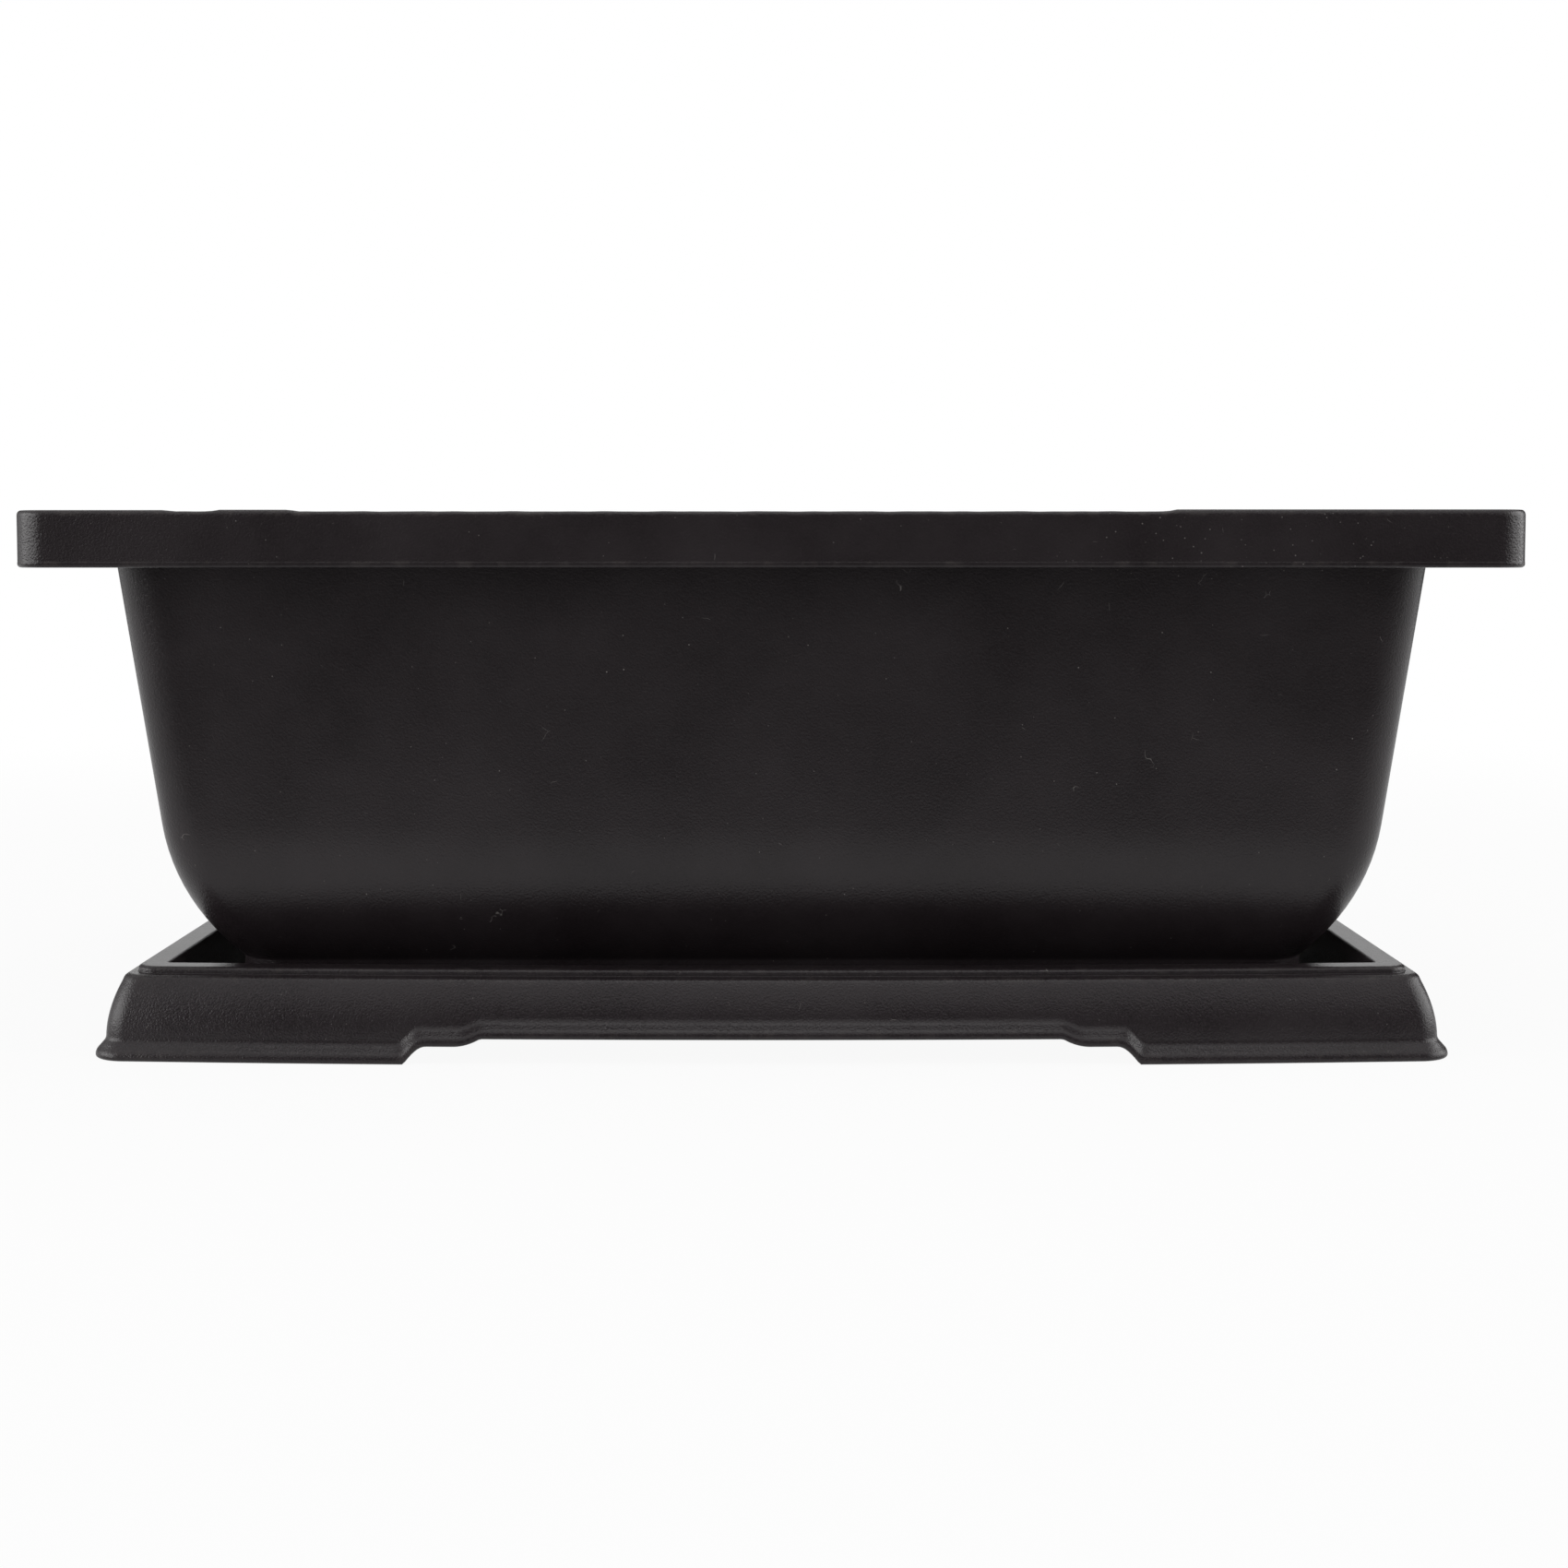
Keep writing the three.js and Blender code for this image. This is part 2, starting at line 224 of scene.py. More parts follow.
potForm = {
    "rimHeight": 10.3, "rimWall": 2.2, "overhang": 13.6, "rimPlan": 6.0, "rimEdge": 0.6, "rimDraft": 0.4,
    "channelRound": 0.8, "rimFootInner": 0.3, "rimFootOuter": 0.6, "mouthEdge": 1.1, "mouthPlanMore": 1.0,
    "stripHeight": 0.95, "stripStep": 0.03, "stripRounds": (0.1, 0.15),
    "footWear": 0.3, "stripWear": (0.6, 0.5), "topWear": 0.5, "mouthWear": 0.3,
    "wall": 2.4, "draft": 6.75, "bodyPlan": 9.0, "heelRadius": 47.0, "heelAngle": 58.0, "baseEdge": 4.0,
    "ringReach": 11.4, "ringWall": 2.4, "ringRounds": (0.4, 0.6),
    "padHeight": 2.7, "padAcross": 18.0, "padMargin": 3.0, "padSides": 48,
    "drainAcross": 12.0, "drainMargin": 32.0, "drainColumns": 3, "drainRows": 2, "drainSides": 36,
    "smallEdge": 0.5, "smallSteps": 4, "sideSteps": (200, 60),
    "topDrop": 0.4, "ragged": 0.05, "raggedPeriods": (5.3, 8.9, 14.7), "flashFade": 1.0, "flashBand": 1.3,
    "flashRuns": ((-140.0, -106.5, 0.28), (-98.5, -84.5, 0.34), (71.0, 140.0, 0.4)),
}


# The body's section moved into the wall by an inset: the base line, the line at the heel's slope and the
# wall line, each moved square to itself. Their crossings are the corners that the heel rounds off.
def bodyCorners(form, inset):
    draft, slope = math.radians(form["draft"]), math.radians(form["heelAngle"])
    baseZ = potLow[2] + form["padHeight"]
    rimBottom = potHigh[2] - form["rimHeight"]
    wallDir = np.array([math.sin(draft), math.cos(draft)])
    slopeDir = np.array([math.sin(slope), math.cos(slope)])
    wallFoot = np.array([potHigh[0] - form["overhang"], rimBottom])
    centreZ = baseZ + form["baseEdge"] + (form["heelRadius"] - form["baseEdge"]) * math.sin(slope)
    heelTopZ = centreZ - form["heelRadius"] * math.sin(draft)
    heelTop = wallFoot + wallDir * (heelTopZ - rimBottom) / wallDir[1]
    centre = heelTop - form["heelRadius"] * np.array([wallDir[1], -wallDir[0]])
    heelEnd = centre + form["heelRadius"] * np.array([slopeDir[1], -slopeDir[0]])
    wallAt = wallFoot - inset * np.array([wallDir[1], -wallDir[0]])
    slopeAt = heelEnd - inset * np.array([slopeDir[1], -slopeDir[0]])
    baseAt = np.array([0.0, baseZ + inset])
    low = meet(baseAt, (1.0, 0.0), slopeAt, slopeDir)
    high = meet(slopeAt, slopeDir, wallAt, wallDir)
    wallPoint = lambda z: wallAt + wallDir * (z - wallAt[1]) / wallDir[1]
    plan = form["bodyPlan"] - inset
    edge = form["baseEdge"] - inset
    flatEnd = low[0] - edge * math.tan((math.pi / 2 - slope) / 2) - 2 * holdGap
    corners = [
        (flatEnd, baseAt[1], 0, plan, 0),
        (low[0], low[1], edge, plan, 0),
        (high[0], high[1], form["heelRadius"] - inset, plan, 0),
    ]
    return corners, wallPoint, plan


# Rows from the underside of the base up the outside, under and over the rim, and down the inside. The
# rim's face leans in by its height times the tangent of its draft.
def potSection(form):
    bottom = potHigh[2] - form["rimHeight"]
    top = potHigh[2] - form["topDrop"]
    flange = top - form["rimWall"]
    rim = potHigh[0]
    hollow = rim - form["rimWall"]
    face = rim - form["stripStep"]
    lean = (form["rimHeight"] - form["stripHeight"]) * math.tan(math.radians(form["rimDraft"]))
    stripTop = bottom + form["stripHeight"]
    outside, outerWall, bodyPlan = bodyCorners(form, 0.0)
    inside, innerWall, innerPlan = bodyCorners(form, form["wall"])
    hollowPlan = form["rimPlan"] - form["rimWall"]
    root, mouth = outerWall(flange), innerWall(top)
    plan = form["rimPlan"]
    rimPart = [
        (root[0], flange, form["channelRound"], bodyPlan, 0),
        (hollow, flange, form["channelRound"], hollowPlan, 0),
        (hollow, bottom, form["rimFootInner"], hollowPlan, 0),
        (rim, bottom, form["rimFootOuter"], plan, form["footWear"]),
        (rim, stripTop - form["stripStep"], form["stripRounds"][0], plan, form["stripWear"][0]),
        (face, stripTop, form["stripRounds"][1], plan, form["stripWear"][1]),
        (face - lean, top, form["rimEdge"], plan, form["topWear"]),
        (mouth[0], top, form["mouthEdge"], innerPlan + form["mouthPlanMore"], form["mouthWear"]),
    ]
    return withRing(form, roundedPath(outside + rimPart + inside[::-1]))


# Sets the foot ring into the rows: it hangs from the heel's outside, its two sides upright, down to the
# base. The heel's height at each side is interpolated between the rows.
def withRing(form, rows):
    flat = rows[0, 0] + 2 * holdGap
    outer = flat + form["ringReach"]
    inner = outer - form["ringWall"]
    after = np.argmax(rows[:, 0] > outer + holdGap)
    heel = rows[:after + 1]
    plan = form["bodyPlan"]
    atHeel = lambda half: np.interp(half, heel[:, 0], heel[:, 1])
    ring = roundedPath([
        (inner, atHeel(inner), 0, plan - form["ringWall"], 0),
        (inner, rows[0, 1], form["ringRounds"][0], plan - form["ringWall"], 0),
        (outer, rows[0, 1], form["ringRounds"][1], plan, 0),
        (outer, atHeel(outer), 0, plan, 0),
    ], spacing=closeSpacing)
    hold = [[outer + holdGap, atHeel(outer + holdGap), plan, 0.0]]
    return np.concatenate([heel[heel[:, 0] < inner], ring, hold, rows[after:]])


# Middles of the drain holes, an even grid that ends a margin inside the flat of the base, and of the pads,
# one in each corner of the flat.
def potUnderside(form, flat):
    drainX = flat - form["drainMargin"]
    padX = flat - form["padMargin"] - form["padAcross"] / 2
    drains = [(x, y) for x in np.linspace(-drainX, drainX, form["drainColumns"])
              for y in np.linspace(-drainX + potShort, drainX - potShort, form["drainRows"])]
    pads = [(x, y) for x in (-padX, padX) for y in (potShort - padX, padX - potShort)]
    return drains, pads


# Flash that the tool left along the rim's top edge: runs of full height that smooth steps begin and end,
# and between them a ragged line, a sum of sines whose periods don't fit into each other.
def flashHeight(form, x):
    waves = (1 + np.sin(2 * np.pi * x / period + period) for period in form["raggedPeriods"])
    height = form["ragged"] / len(form["raggedPeriods"]) * sum(waves)
    fade = form["flashFade"]
    for start, end, tall in form["flashRuns"]:
        share = smoothStep(start - fade, start + fade, x) * (1 - smoothStep(end - fade, end + fade, x))
        height = height + (tall - height) * share
    return height


# The section's rows carried round rounded rectangles, the flash added where a row is on the rim's top edge,
# the drain holes and pads as circles for each row, and flat panels that fill the base between them.
def buildPot(form):
    rows = potSection(form)
    half, z, plan, wear = rows.T
    span = [np.linspace(-1, 1, steps + 1)[1:-1] for steps in form["sideSteps"]]
    longAt = span[0] * (half - plan)[:, None]
    shortAt = span[1] * (half - potShort - plan)[:, None]
    loops = loopGrid(half, plan, longAt, shortAt, potShort)
    count, columns = loops.shape[:2]
    topEdge = potHigh[2] - form["topDrop"] - form["rimEdge"]
    onEdge = np.clip((z - topEdge) / form["rimEdge"], 0, 1)
    onEdge *= half > potHigh[0] - form["flashBand"] * form["rimEdge"]
    height = z[:, None] + onEdge[:, None] * flashHeight(form, loops[..., 0])
    body = np.dstack([loops, height]).reshape(-1, 3)
    points, faces = [body], ringFaces(count, columns)
    wears = [np.repeat(wear, columns)]
    total = len(body)
    flat = half[0] + 2 * holdGap
    drains, pads = potUnderside(form, flat)
    edge = form["smallEdge"]
    quarter = np.linspace(0, np.pi / 2, form["smallSteps"] + 1)
    # a drain hole's wall, flared by a small rounding at both faces of the base
    holeR = form["drainAcross"] / 2 + edge * np.concatenate([1 - np.sin(quarter), 1 - np.cos(quarter)])
    holeZ = np.concatenate([z[0] + edge * (1 - np.cos(quarter)), z[-1] - edge * (1 - np.sin(quarter))])
    # a pad: a small hollow rounding off the base, a straight side, a rounded lower edge and a flat
    padR = form["padAcross"] / 2
    padRadius = np.concatenate([padR + edge * (1 - np.sin(quarter)), padR - edge * (1 - np.cos(quarter)),
                                [padR - edge - 2 * holdGap]])
    padZ = np.concatenate([z[0] - edge * (1 - np.cos(quarter)), potLow[2] + edge * (1 - np.sin(quarter)),
                           [potLow[2]]])
    holeLower, holeUpper, padUpper, panels = [], [], [], []
    for x, y in drains:
        wall = circleRows(x, y, holeR, holeZ, form["drainSides"])
        index = total + np.arange(wall[..., 0].size).reshape(wall.shape[:2])
        faces += ringFaces(*index.shape, total, flip=True)
        holeLower.append(index[0])
        holeUpper.append(index[-1])
        points.append(wall.reshape(-1, 3))
        total += index.size
    for x, y in pads:
        side = circleRows(x, y, padRadius, padZ, form["padSides"])
        index = total + np.arange(side[..., 0].size).reshape(side.shape[:2])
        faces += ringFaces(*index.shape, total, flip=True)
        panels.append(index[-1][::-1].tolist())
        padUpper.append(index[0])
        points.append(side.reshape(-1, 3))
        total += index.size
    points = np.concatenate(points)
    wears.append(np.zeros(total - len(body)))
    first, last = np.arange(columns), (count - 1) * columns + np.arange(columns)
    panels += flatFaces(points, first, holeLower + padUpper, up=False)
    panels += flatFaces(points, last, holeUpper, up=True)
    return makePiece("pot_moulding", points, faces, panels, np.concatenate(wears))


# Drip tray

trayForm = {
    "underfloor": 2.7, "wall": 1.8, "wellDraft": 6.0, "wellPlan": 1.2, "wellFillet": 1.2, "floorRun": 2.0,
    "underRound": 0.6, "bendHeight": 4.0, "bendRound": 2.0, "bendEnd": 2.0, "followFrom": 0.7,
    "lipWidth": 5.2, "lipHeight": 1.3, "lipPlan": 3.8, "lipEdge": 0.8, "lipInnerEdge": 0.5, "lipFoot": 0.15,
    "lipWear": (0.35, 0.3), "ledgeWidth": 1.75,
    "skirtWall": 2.0, "skirtReach": 3.4, "skirtStraight": 3.2, "skirtPlan": 4.1, "skirtRows": 14,
    "skirtGap": 0.4, "skirtEdge": 1.3, "skirtEdgeOut": 0.05, "skirtEdgePlanLess": 0.4, "skirtEdgeWear": 0.3,
    "beadReach": 1.92, "beadTaper": 0.1, "beadShoulder": 1.55, "beadTop": 3.45, "beadPlan": 5.4,
    "beadInner": 0.35, "beadFoot": 0.7, "shoulderRound": 1.9, "beadTopRound": 1.8, "beadRun": 1.2,
    "beadWear": 0.3, "beadSpacing": 0.6,
    "longFoot": 58.5, "shortFoot": 43.0, "cove": 4.2, "step": 5.0, "lobe": 5.0, "stepRise": 3.3,
    "archRise": 4.7, "archSqueeze": 0.085, "softCove": (1.5, 1.1), "softLobe": (1.2, 0.5),
    "bow": 4.7, "fineStep": 0.55, "fineMargin": (1.5, 3.0), "coarseStep": 7.0, "cornerMargin": 3.0,
}


# Half width of the skirt's outside: straight at the foot, then leaning in along a parabola.
def skirtHalf(form, z):
    ledgeTop = trayHigh[2] - form["lipHeight"]
    share = np.maximum(z - form["skirtStraight"], 0) / (ledgeTop - form["skirtStraight"])
    return trayHigh[0] - form["beadReach"] - form["skirtReach"] * share ** 2


# How far the lower edge rises at a distance from the middle of a side. From the foot inwards: a quarter
# cosine up to the step, the step, and a parabola up to the arch. Softened, higher up the bead, both
# turn into smooth steps a little nearer the foot.
def archLift(form, at, footEnd, soften):
    stepOuter = footEnd - form["cove"]
    stepInner = stepOuter - form["step"]
    middle = stepInner - form["lobe"]
    cove = np.cos(np.clip((at - stepOuter) / form["cove"], 0, 1) * np.pi / 2)
    lobe = np.clip((stepInner - at) / form["lobe"], 0, 1) ** 2
    softCove = smoothStep(footEnd + form["softCove"][0], stepOuter + form["softCove"][1], at)
    softLobe = smoothStep(stepInner - form["softLobe"][0], middle - form["softLobe"][1], at)
    cove = cove + (softCove - cove) * soften
    lobe = lobe + (softLobe - lobe) * soften
    return form["stepRise"] * cove + (form["archRise"] - form["stepRise"]) * lobe


# Rows from the underside of the floor, down inside the skirt, over the bead, up the skirt and over the lip
# into the well. The last two columns say how far a row follows the arch and how soft the arch is there.
def traySection(form):
    lipTop = trayHigh[2]
    ledge = lipTop - form["lipHeight"]
    foot = trayHigh[0] - form["beadReach"]
    lipOuter = foot - form["skirtReach"] - form["ledgeWidth"]
    lipInner = lipOuter - form["lipWidth"]
    floorTop = form["underfloor"] + form["wall"]
    wellFloor = lipInner - (lipTop - floorTop) * math.tan(math.radians(form["wellDraft"]))
    channel = ledge - form["wall"]
    outPlan, inPlan = form["skirtPlan"], form["skirtPlan"] - form["skirtWall"]
    wellBack = form["wellPlan"] + form["wall"]
    under = roundedPath([
        (wellFloor - form["floorRun"], form["underfloor"], 0, wellBack, 0),
        (wellFloor + form["wall"], form["underfloor"], form["underRound"], wellBack, 0),
        (lipInner + form["wall"], channel, form["underRound"], wellBack, 0),
        (skirtHalf(form, channel) - form["skirtWall"], channel, form["underRound"], inPlan, 0),
        (foot - form["skirtWall"], form["bendHeight"], form["bendRound"], inPlan, 0),
        (foot - form["skirtWall"], form["bendEnd"], 0, inPlan, 0),
    ], spacing=closeSpacing)
    skirtStart = form["beadTop"] + form["beadRun"]
    beadPlan, beadWear = form["beadPlan"], form["beadWear"]
    shoulder = foot + form["beadReach"] - form["beadTaper"]
    bead = roundedPath([
        (foot - form["skirtWall"], form["bendEnd"], 0, inPlan, 0),
        (foot - form["skirtWall"], 0.0, form["beadInner"], inPlan, 0),
        (foot + form["beadReach"], 0.0, form["beadFoot"], beadPlan, beadWear),
        (shoulder, form["beadShoulder"], form["shoulderRound"], beadPlan, beadWear),
        (skirtHalf(form, form["beadTop"]), form["beadTop"], form["beadTopRound"], outPlan, 0),
        (skirtHalf(form, skirtStart), skirtStart, 0, outPlan, 0),
    ], spacing=form["beadSpacing"])
    skirtEnd = ledge - form["skirtEdge"] - form["skirtGap"]
    skirtZ = np.linspace(skirtStart + form["skirtGap"], skirtEnd, form["skirtRows"])
    skirt = np.column_stack([skirtHalf(form, skirtZ), skirtZ, np.full(skirtZ.shape, outPlan), 0 * skirtZ])
    topZ = skirtEnd + form["skirtGap"] / 2
    edgeOut, edgePlan = skirtHalf(form, ledge) + form["skirtEdgeOut"], outPlan - form["skirtEdgePlanLess"]
    top = roundedPath([
        (skirtHalf(form, topZ), topZ, 0, outPlan, 0),
        (edgeOut, ledge, form["skirtEdge"], edgePlan, form["skirtEdgeWear"]),
        (lipOuter, ledge, form["lipFoot"], form["lipPlan"], 0),
        (lipOuter, lipTop, form["lipEdge"], form["lipPlan"], form["lipWear"][0]),
        (lipInner, lipTop, form["lipInnerEdge"], form["wellPlan"], form["lipWear"][1]),
        (wellFloor, floorTop, form["wellFillet"], form["wellPlan"], 0),
        (wellFloor - form["wellFillet"] - form["floorRun"], floorTop, 0, form["wellPlan"], 0),
    ], spacing=closeSpacing)
    rows = np.concatenate([under, bead[1:], skirt, top])
    z = rows[:, 1]
    inner = np.arange(len(rows)) < len(under)
    outer = np.arange(len(rows)) >= len(under) + len(bead) - 1
    follow = np.ones(len(rows))
    innerShare = (z - form["bendEnd"]) / (channel - form["bendEnd"])
    outerShare = (z - skirtStart) / (skirtEnd - skirtStart)
    follow[inner] = 1 - np.clip(innerShare[inner], 0, 1)
    follow[outer] = 1 - np.clip(outerShare[outer], 0, 1)
    follow[:np.argmax(z >= channel - form["followFrom"]) + 1] = 0
    follow[-len(top):] = 0
    soften = np.clip(z / form["beadTop"], 0, 1)
    follow *= 1 - form["archSqueeze"] * soften
    return np.column_stack([rows, follow, soften])


# Places of the points along a side: close together where the lower edge steps, wider apart elsewhere.
def sidePlaces(form, footEnd, sideEnd):
    fineStart = footEnd - form["cove"] - form["step"] - form["lobe"] - form["fineMargin"][0]
    fineEnd = footEnd + form["fineMargin"][1]
    fine = np.linspace(fineStart, fineEnd, round((fineEnd - fineStart) / form["fineStep"]))
    middle = np.linspace(0, fineStart, max(2, round(fineStart / form["coarseStep"])), endpoint=False)
    outer = np.linspace(fineEnd, sideEnd, max(2, round((sideEnd - fineEnd) / form["coarseStep"])))[1:]
    half = np.concatenate([middle, fine, outer])
    return np.concatenate([-half[:0:-1], half])


# The long sides bow out: depths grow by the factor 1 + bow / depth (1 - (x / half length)^2).
def bowOut(form, points):
    share = np.maximum(1 - (points[:, 0] / trayHigh[0]) ** 2, 0)
    points[:, 1] *= 1 + form["bow"] / (trayHigh[1] - form["bow"]) * share
    return points


# The section's rows carried round rounded rectangles, each row lifted by the arches as far as it follows
# them and shifted along the skirt's lean, then bowed, with flat panels for the floor's two faces.
def buildTray(form):
    rows = traySection(form)
    half, z, plan, wear, follow, soften = rows.T
    shortBy = trayHigh[0] - trayHigh[1] + form["bow"]
    longEnd = trayHigh[0] - form["longFoot"]
    shortEnd = trayHigh[0] - shortBy - form["shortFoot"]
    sideEnd = half.min() - plan.max() - form["cornerMargin"]
    longAt = sidePlaces(form, longEnd, sideEnd)
    shortAt = sidePlaces(form, shortEnd, sideEnd - shortBy)
    loops = loopGrid(half, plan, longAt, shortAt, shortBy)
    sides = loopSides(longAt, shortAt)
    count, columns = loops.shape[:2]
    at, out = sides[:, 0], sides[:, 1:]
    footEnd = np.where(np.abs(out[:, 1]) > 0, longEnd, shortEnd)
    onSide = np.abs(out).sum(1) > 0
    lift = archLift(form, at[None, :], footEnd[None, :], soften[:, None]) * onSide * follow[:, None]
    height = z[:, None] + lift
    leanFrom = np.maximum(z, form["beadTop"])[:, None]
    shift = skirtHalf(form, leanFrom + lift) - skirtHalf(form, leanFrom)
    loops = loops + shift[..., None] * out
    points = bowOut(form, np.dstack([loops, height]).reshape(-1, 3))
    faces = ringFaces(count, columns)
    first, last = np.arange(columns), (count - 1) * columns + np.arange(columns)
    panels = flatFaces(points, first, [], up=False) + flatFaces(points, last, [], up=True)
    return makePiece("tray_moulding", points, faces, panels, np.repeat(wear, columns))


pot = buildPot(potForm)
tray = buildTray(trayForm)
print("pieces built")


# Materials

# An sRGB hex colour as linear red, green, blue, alpha.
def linearColour(hexText):
    srgb = np.array([int(hexText[k:k + 2], 16) for k in (1, 3, 5)]) / 255
    linear = np.where(srgb <= 0.04045, srgb / 12.92, ((srgb + 0.055) / 1.055) ** 2.4)
    return (*linear.tolist(), 1.0)


# Texture scale that gives features of a size in millimetres on Object coordinates in metres.
def perSize(size):
    return 1 / (size * mm)


# Adds one node: its settings by attribute, socket name or socket number, then links from other sockets.
def addNode(tree, kind, settings=None, links=None):
    node = tree.nodes.new(kind)
    for name, value in (settings or {}).items():
        if isinstance(name, str) and hasattr(node, name):
            setattr(node, name, value)
        else:
            node.inputs[name].default_value = value
    for name, source in (links or {}).items():
        tree.links.new(source, node.inputs[name])
    return node


# Settings that let a Map Range run from the first of two values to the second.
def between(first, second):
    return {"From Min": first, "From Max": second}


# Polypropylene moulded in a spark-eroded tool: a fine matt grain that glitters in the highlights, paler on
# worn edges, with faint smudges from handling, specks of dust and a few hairs of lint, more of them on a
# scuff. The real grain is finer: it is drawn as coarse as it needs to show.
def grainedPolypropylene(name, look):
    material = bpy.data.materials.new(name)
    material.use_nodes = True
    tree = material.node_tree
    tree.nodes.clear()
    where = addNode(tree, "ShaderNodeTexCoord").outputs["Object"]
    # smudges some centimetres wide
    haze = addNode(tree, "ShaderNodeTexNoise", {
        "Scale": perSize(look["smudge"]), "Detail": 4.0, "Roughness": 0.6}, {"Vector": where})
    smudge = addNode(tree, "ShaderNodeMapRange", between(*look["smudgeRange"]),
                     {"Value": haze.outputs["Fac"]})
    # grain: fine pits, darker in their depth: partly the grain's own tone, partly painted shade
    grain = addNode(tree, "ShaderNodeTexNoise", {
        "Scale": perSize(look["grain"]), "Detail": 1.0, "Roughness": 0.5}, {"Vector": where})
    height = addNode(tree, "ShaderNodeMapRange", between(*look["grainToneAndShadeRange"]),
                     {"Value": grain.outputs["Fac"]})
    # wear: broken along the edges
    worn = addNode(tree, "ShaderNodeTexNoise", {
        "Scale": perSize(look["wearSize"]), "Detail": 4.0}, {"Vector": where})
    broken = addNode(tree, "ShaderNodeMapRange", between(*look["wearRange"]), {"Value": worn.outputs["Fac"]})
    edge = addNode(tree, "ShaderNodeAttribute", {"attribute_name": "edgeWear"})
    wear = addNode(tree, "ShaderNodeMath", {"operation": "MULTIPLY"},
                   {0: edge.outputs["Fac"], 1: broken.outputs["Result"]})
    # scuff: 1 inside an oval on the front and back, 0 outside it
    oval = {1: [1 / (reach * mm) for reach in look["scuffReach"]],
            2: [-at / reach for at, reach in zip(look["scuffAt"], look["scuffReach"])]}
    inOval = addNode(tree, "ShaderNodeVectorMath", {"operation": "MULTIPLY_ADD", **oval}, {0: where})
    away = addNode(tree, "ShaderNodeVectorMath", {"operation": "LENGTH"}, {0: inOval.outputs["Vector"]})
    scuff = addNode(tree, "ShaderNodeMapRange", between(1.0, look["scuffFade"]),
                    {"Value": away.outputs["Value"]})
    # dust: the middles of scattered cells, more or less pale, sparse where little has settled and dense on
    # the scuff
    settled = addNode(tree, "ShaderNodeTexNoise", {
        "Scale": perSize(look["dustPatch"]), "Detail": 2.0}, {"Vector": where})
    patch = addNode(tree, "ShaderNodeMapRange", {**between(*look["dustRange"]), "To Min": look["dustLeast"]},
                    {"Value": settled.outputs["Fac"]})
    specks = []
    for spacing, share in ((look["dustSpacing"], patch), (look["scuffSpacing"], scuff)):
        size = look["dustSize"] / spacing
        cells = addNode(tree, "ShaderNodeTexVoronoi", {"Scale": perSize(spacing)}, {"Vector": where})
        speck = addNode(tree, "ShaderNodeMapRange", {
            **between(size, look["speckCore"] * size), "To Max": look["dust"]},
            {"Value": cells.outputs["Distance"]})
        pale = addNode(tree, "ShaderNodeMath", {"operation": "MULTIPLY"},
                       {0: speck.outputs["Result"], 1: cells.outputs["Color"]})
        specks.append(addNode(tree, "ShaderNodeMath", {"operation": "MULTIPLY"},
                              {0: pale.outputs[0], 1: share.outputs["Result"]}).outputs[0])
    dust = addNode(tree, "ShaderNodeMath", {"operation": "MAXIMUM"}, {0: specks[0], 1: specks[1]})
    # lint: short bits of the walls between warped cells
    warp = addNode(tree, "ShaderNodeTexNoise", {
        "Scale": perSize(look["lintSpacing"] / 2), "Detail": 1.0}, {"Vector": where})
    bent = addNode(tree, "ShaderNodeVectorMath", {
        "operation": "MULTIPLY_ADD", 1: (look["lintBend"] * mm,) * 3}, {0: warp.outputs["Color"], 2: where})
    walls = addNode(tree, "ShaderNodeTexVoronoi", {
        "feature": "DISTANCE_TO_EDGE", "Scale": perSize(look["lintSpacing"])},
        {"Vector": bent.outputs["Vector"]})
    thread = addNode(tree, "ShaderNodeMapRange", {
        **between(look["lintSize"] / look["lintSpacing"], 0.0), "To Max": look["lint"]},
        {"Value": walls.outputs["Distance"]})
    pick = addNode(tree, "ShaderNodeTexNoise", {
        "Scale": perSize(look["lintLength"]), "Detail": 1.0}, {"Vector": where})
    eager = addNode(tree, "ShaderNodeMath", {"operation": "MULTIPLY_ADD", 1: look["lintScuff"]},
                    {0: scuff.outputs["Result"], 2: pick.outputs["Fac"]})
    short = addNode(tree, "ShaderNodeMapRange", between(*look["lintRange"]), {"Value": eager.outputs[0]})
    lint = addNode(tree, "ShaderNodeMath", {"operation": "MULTIPLY"},
                   {0: thread.outputs["Result"], 1: short.outputs["Result"]})
    dirt = addNode(tree, "ShaderNodeMath", {"operation": "MAXIMUM"}, {0: dust.outputs[0], 1: lint.outputs[0]})
    # colour: plain, grained with painted shade in the pits, smudged, worn, dusty
    colour = linearColour(look["colour"])
    for amount, tint in (
        (height.outputs["Result"], look["grainToneAndShadeColour"]), (smudge.outputs["Result"], look["smudgeColour"]),
        (wear.outputs[0], look["wearColour"]), (dirt.outputs[0], look["dustColour"]),
    ):
        mix = addNode(tree, "ShaderNodeMix", {"data_type": "RGBA", 7: linearColour(tint)}, {0: amount})
        if isinstance(colour, tuple):
            mix.inputs[6].default_value = colour
        else:
            tree.links.new(colour, mix.inputs[6])
        colour = mix.outputs[2]
    gloss = addNode(tree, "ShaderNodeMath", {
        "operation": "MULTIPLY_ADD", 1: look["smudgeGloss"], 2: look["roughness"]},
        {0: smudge.outputs["Result"]})
    bump = addNode(tree, "ShaderNodeBump", {
        "Strength": look["grainStrength"], "Distance": look["grainDepth"] * mm},
        {"Height": grain.outputs["Fac"]})
    shader = addNode(tree, "ShaderNodeBsdfPrincipled", {
        "IOR": look["ior"], "Specular IOR Level": look["specular"]}, {
        "Base Color": colour, "Roughness": gloss.outputs[0], "Normal": bump.outputs["Normal"]})
    addNode(tree, "ShaderNodeOutputMaterial", None, {"Surface": shader.outputs["BSDF"]})
    return material


